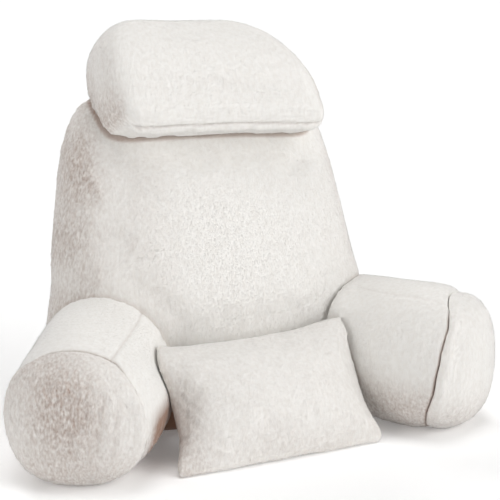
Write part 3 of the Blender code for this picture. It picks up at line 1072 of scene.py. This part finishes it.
class PillowSizes(bpy.types.PropertyGroup):
    voxel: length("Voxel", "Grid of the cushions before the last halving", 0.0055)
    inset: length("Inset", "How far a cushion is drawn in before it swells", 0.004)
    pressure: number("Pressure", "Pressure of the filling on the cover", 4.0)
    slack: number("Slack", "Share by which the cover is larger than the filling", 0.02)
    swell_limit: length("Swell limit", "Most that a point of a cover moves", 0.006)
    pile_density: number("Pile density", "Tufts on a square millimetre", 0.123)
    pile_length: length("Pile length", "Length of a tuft", 0.0031)
    pile_width: length("Pile width", "Width of a tuft at its root", 0.0010)
    pile_sink: length("Pile sink", "How deep a root is set in the cover", 0.0006)
    lean: number("Lean", "Angle between a tuft and the surface's normal", math.radians(69.0),
                 subtype="ANGLE")
    lock_size: length("Lock size", "Size of the locks that tufts gather in", 0.006)
    ruffle_depth: length("Ruffle depth", "Relief of the locks where the nap is ruffled", 0.0017)
    loose_share: portion("Loose share", "Tufts that are longer and stand up more", 0.06)
    roundness: portion("Roundness", "How far a tuft's shading leaves that of its cover", 0.05)
    bare_reach: length("Bare reach", "So near to a cushion or the floor no pile grows", 0.0016)


class PillowLook(bpy.types.PropertyGroup):
    tip_colour: colour("Tip colour", "Pile at its tips", "#f2f1ee")
    root_colour: colour("Root colour", "Pile at its roots", "#ebe8e3")
    ground_colour: colour("Ground colour", "Backing under the pile", "#f0eeea")
    # Painted shade of ruffled nap, seams, folds, corners, contacts and low parts is this colour.
    shade_colour: colour("Shade colour", "What the darkest tufts are multiplied by", "#946e58")
    floor_colour: colour("Floor colour", "Studio floor", "#fbfbfb")
    lock_size: length("Mottle size", "Size of the mottling of the backing", 0.005)
    curl_size: length("Curl size", "Size of the curls where the nap is ruffled", 0.0033)
    loop_size: length("Loop size", "Pitch of the backing's knitted loops", 0.002)
    glow: portion("Glow", "Share of the light that passes through a tuft", 0.6)
    sheen: portion("Sheen", "Pale rim of the pile seen edge on", 0.3)


# ---- operators ------------------------------------------------------------------------

MATERIALS = {}


def plush():
    """The two materials of the plush, made once."""
    if not MATERIALS:
        look = bpy.context.scene.pillow_look
        MATERIALS["backing"] = backing_material("knitted_polyester_backing", look)
        MATERIALS["pile"] = pile_material("brushed_polyester_pile", look)
    return MATERIALS["backing"], MATERIALS["pile"]


def dress(made, node_name, seed, crease_and_shade=nothing, halves=None):
    """Finish a cushion: its materials, its pile, its parent and the hiding of its solid."""
    piece, gap = made
    backing, pile_look = plush()
    piece.data.materials.append(backing)
    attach(piece, BODY)
    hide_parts(node_name)
    for ending, keep in (halves or {"": None}).items():
        pile = grow_pile(piece, gap, node_name + "_pile" + ending, seed, keep, crease_and_shade)
        pile.data.materials.append(pile_look)
        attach(pile, BODY)
        seed += 20


class PILLOW_OT_backrest(bpy.types.Operator):
    """Make the backrest cushion with its pile"""
    bl_idname = "pillow.backrest"
    bl_label = "Backrest"

    def execute(self, context):
        made = cushion("backrest_cushion", "backrest", shape_backrest, ruffled_and_shaded_sides,
                       backrest_foot_shade, backrest_contact_shade, grain=BACKREST_GRAIN, crisp=CRISP_REACH)
        middle = CENTRE[1] + BACKREST_MIDDLE
        halves = {"_front": lambda p: p[:, 1] < middle, "_back": lambda p: p[:, 1] >= middle}
        dress(made, "backrest", 100, backrest_foot_shade, halves)
        return {"FINISHED"}


class PILLOW_OT_arms(bpy.types.Operator):
    """Make both arms and their end panels with their pile"""
    bl_idname = "pillow.arms"
    bl_label = "Arms"

    def execute(self, context):
        for seed, name in ((200, "arm_left"), (300, "arm_right")):
            end, crease_and_shade = name + "_end", arm_crease_shade(name)
            made = cushion(name + "_bolster", name, shape_arm(name), ruffled_and_shaded_arm, crease_and_shade,
                           arm_contact_shade, crisp=CRISP_REACH, partner=end)
            dress(made, name, seed, crease_and_shade)
            crease_and_shade = end_crease_shade(name)
            made = cushion(end + "_panel", end, shape_end(name), RUFFLED_AND_SHADED_ENDS[name], crease_and_shade,
                           crisp=CRISP_REACH, soft=((10, None),), partner=name)
            dress(made, end, seed + 50, crease_and_shade)
        return {"FINISHED"}


class PILLOW_OT_headrest(bpy.types.Operator):
    """Make the headrest cushion with its pile"""
    bl_idname = "pillow.headrest"
    bl_label = "Headrest"

    def execute(self, context):
        made = cushion("headrest_cushion", "headrest", shape_headrest, ruffled_and_shaded_gussets,
                       headrest_seam_shade, soft=((14, None), (34, headrest_ends)))
        dress(made, "headrest", 400, headrest_seam_shade)
        return {"FINISHED"}


class PILLOW_OT_lumbar(bpy.types.Operator):
    """Make the loose lumbar pillow with its pile"""
    bl_idname = "pillow.lumbar"
    bl_label = "Lumbar pillow"

    def execute(self, context):
        made = cushion("lumbar_cushion", "lumbar_pillow", shape_lumbar, ruffled_and_shaded_lumbar,
                       contact_shade_share=lumbar_contact_shade, grain=LUMBAR_GRAIN, inset=LUMBAR_INSET,
                       soft=((9, None),))
        dress(made, "lumbar_pillow", 500)
        return {"FINISHED"}


def from_front(azimuth, elevation):
    """The direction at so many degrees round from the front towards +X and above the floor."""
    azimuth, elevation = math.radians(azimuth), math.radians(elevation)
    flat = math.cos(elevation)
    return Vector((math.sin(azimuth) * flat, -math.cos(azimuth) * flat, math.sin(elevation)))


def aimed(name, data, place, target):
    item = bpy.data.objects.new(name, data)
    item.location = place
    item.rotation_euler = (target - place).to_track_quat("-Z", "Y").to_euler()
    bpy.context.scene.collection.objects.link(item)
    return item


def far_light(name, azimuth, elevation, strength, spread):
    """A large distant softbox."""
    light = bpy.data.lights.new(name, "SUN")
    light.energy = strength
    light.angle = math.radians(spread)
    middle = Vector((0.0, 0.0, 0.0))
    aimed(name, light, from_front(azimuth, elevation) * LIGHT_DISTANCE, middle)


class PILLOW_OT_stage(bpy.types.Operator):
    """Set up the pale floor, the soft lights and the camera"""
    bl_idname = "pillow.stage"
    bl_label = "Stage"

    def execute(self, context):
        scene = context.scene
        square = np.array(((-1.0, -1.0, 0.0), (1.0, -1.0, 0.0), (1.0, 1.0, 0.0), (-1.0, 1.0, 0.0)))
        floor = mesh_of("floor", FLOOR_REACH * square, np.array(((0, 1, 2, 3),)))
        # White studio paper: matte, without an edge, and bright enough to stay plain white.
        material, _, shader = new_material("matte_white_paper")
        white = (*scene.pillow_look.floor_colour, 1.0)
        feed(shader, {"Base Color": white, "Emission Color": white, **PAPER_SURFACE})
        floor.data.materials.append(material)

        world = bpy.data.worlds.new("studio")
        world.use_nodes = True
        feed(world.node_tree.nodes["Background"],
             {"Color": (*linear(WORLD_COLOUR), 1.0), "Strength": WORLD_STRENGTH})
        scene.world = world
        for light in SUNS:
            far_light(*light)

        camera = bpy.data.cameras.new("camera")
        camera.lens = CAMERA_LENS
        camera.sensor_width = SENSOR_WIDTH
        place = CAMERA_TARGET + from_front(CAMERA_AZIMUTH, CAMERA_ELEVATION) * CAMERA_DISTANCE
        scene.camera = aimed("camera", camera, place, CAMERA_TARGET)
        scene.view_settings.view_transform = "Standard"
        return {"FINISHED"}


class PILLOW_PT_panel(bpy.types.Panel):
    """Lists the steps and settings of the reading pillow"""
    bl_idname = "PILLOW_PT_panel"
    bl_label = "Reading Pillow"
    bl_space_type = "VIEW_3D"
    bl_region_type = "UI"
    bl_category = "Reading Pillow"

    def draw(self, context):
        for step in STEPS:
            self.layout.operator(step.bl_idname)
        for group in (context.scene.pillow_sizes, context.scene.pillow_look):
            for name in group.__annotations__:
                self.layout.prop(group, name)


STEPS = (PILLOW_OT_stage, PILLOW_OT_backrest, PILLOW_OT_arms, PILLOW_OT_headrest, PILLOW_OT_lumbar)
CLASSES = (PillowSizes, PillowLook, *STEPS, PILLOW_PT_panel)


def register():
    for item in CLASSES:
        bpy.utils.register_class(item)
    bpy.types.Scene.pillow_sizes = bpy.props.PointerProperty(type=PillowSizes)
    bpy.types.Scene.pillow_look = bpy.props.PointerProperty(type=PillowLook)


def unregister():
    del bpy.types.Scene.pillow_look
    del bpy.types.Scene.pillow_sizes
    for item in reversed(CLASSES):
        bpy.utils.unregister_class(item)


def main():
    register()
    bpy.ops.pillow.stage()
    bpy.ops.pillow.backrest()
    bpy.ops.pillow.arms()
    bpy.ops.pillow.headrest()
    bpy.ops.pillow.lumbar()


if __name__ == "__main__":
    main()
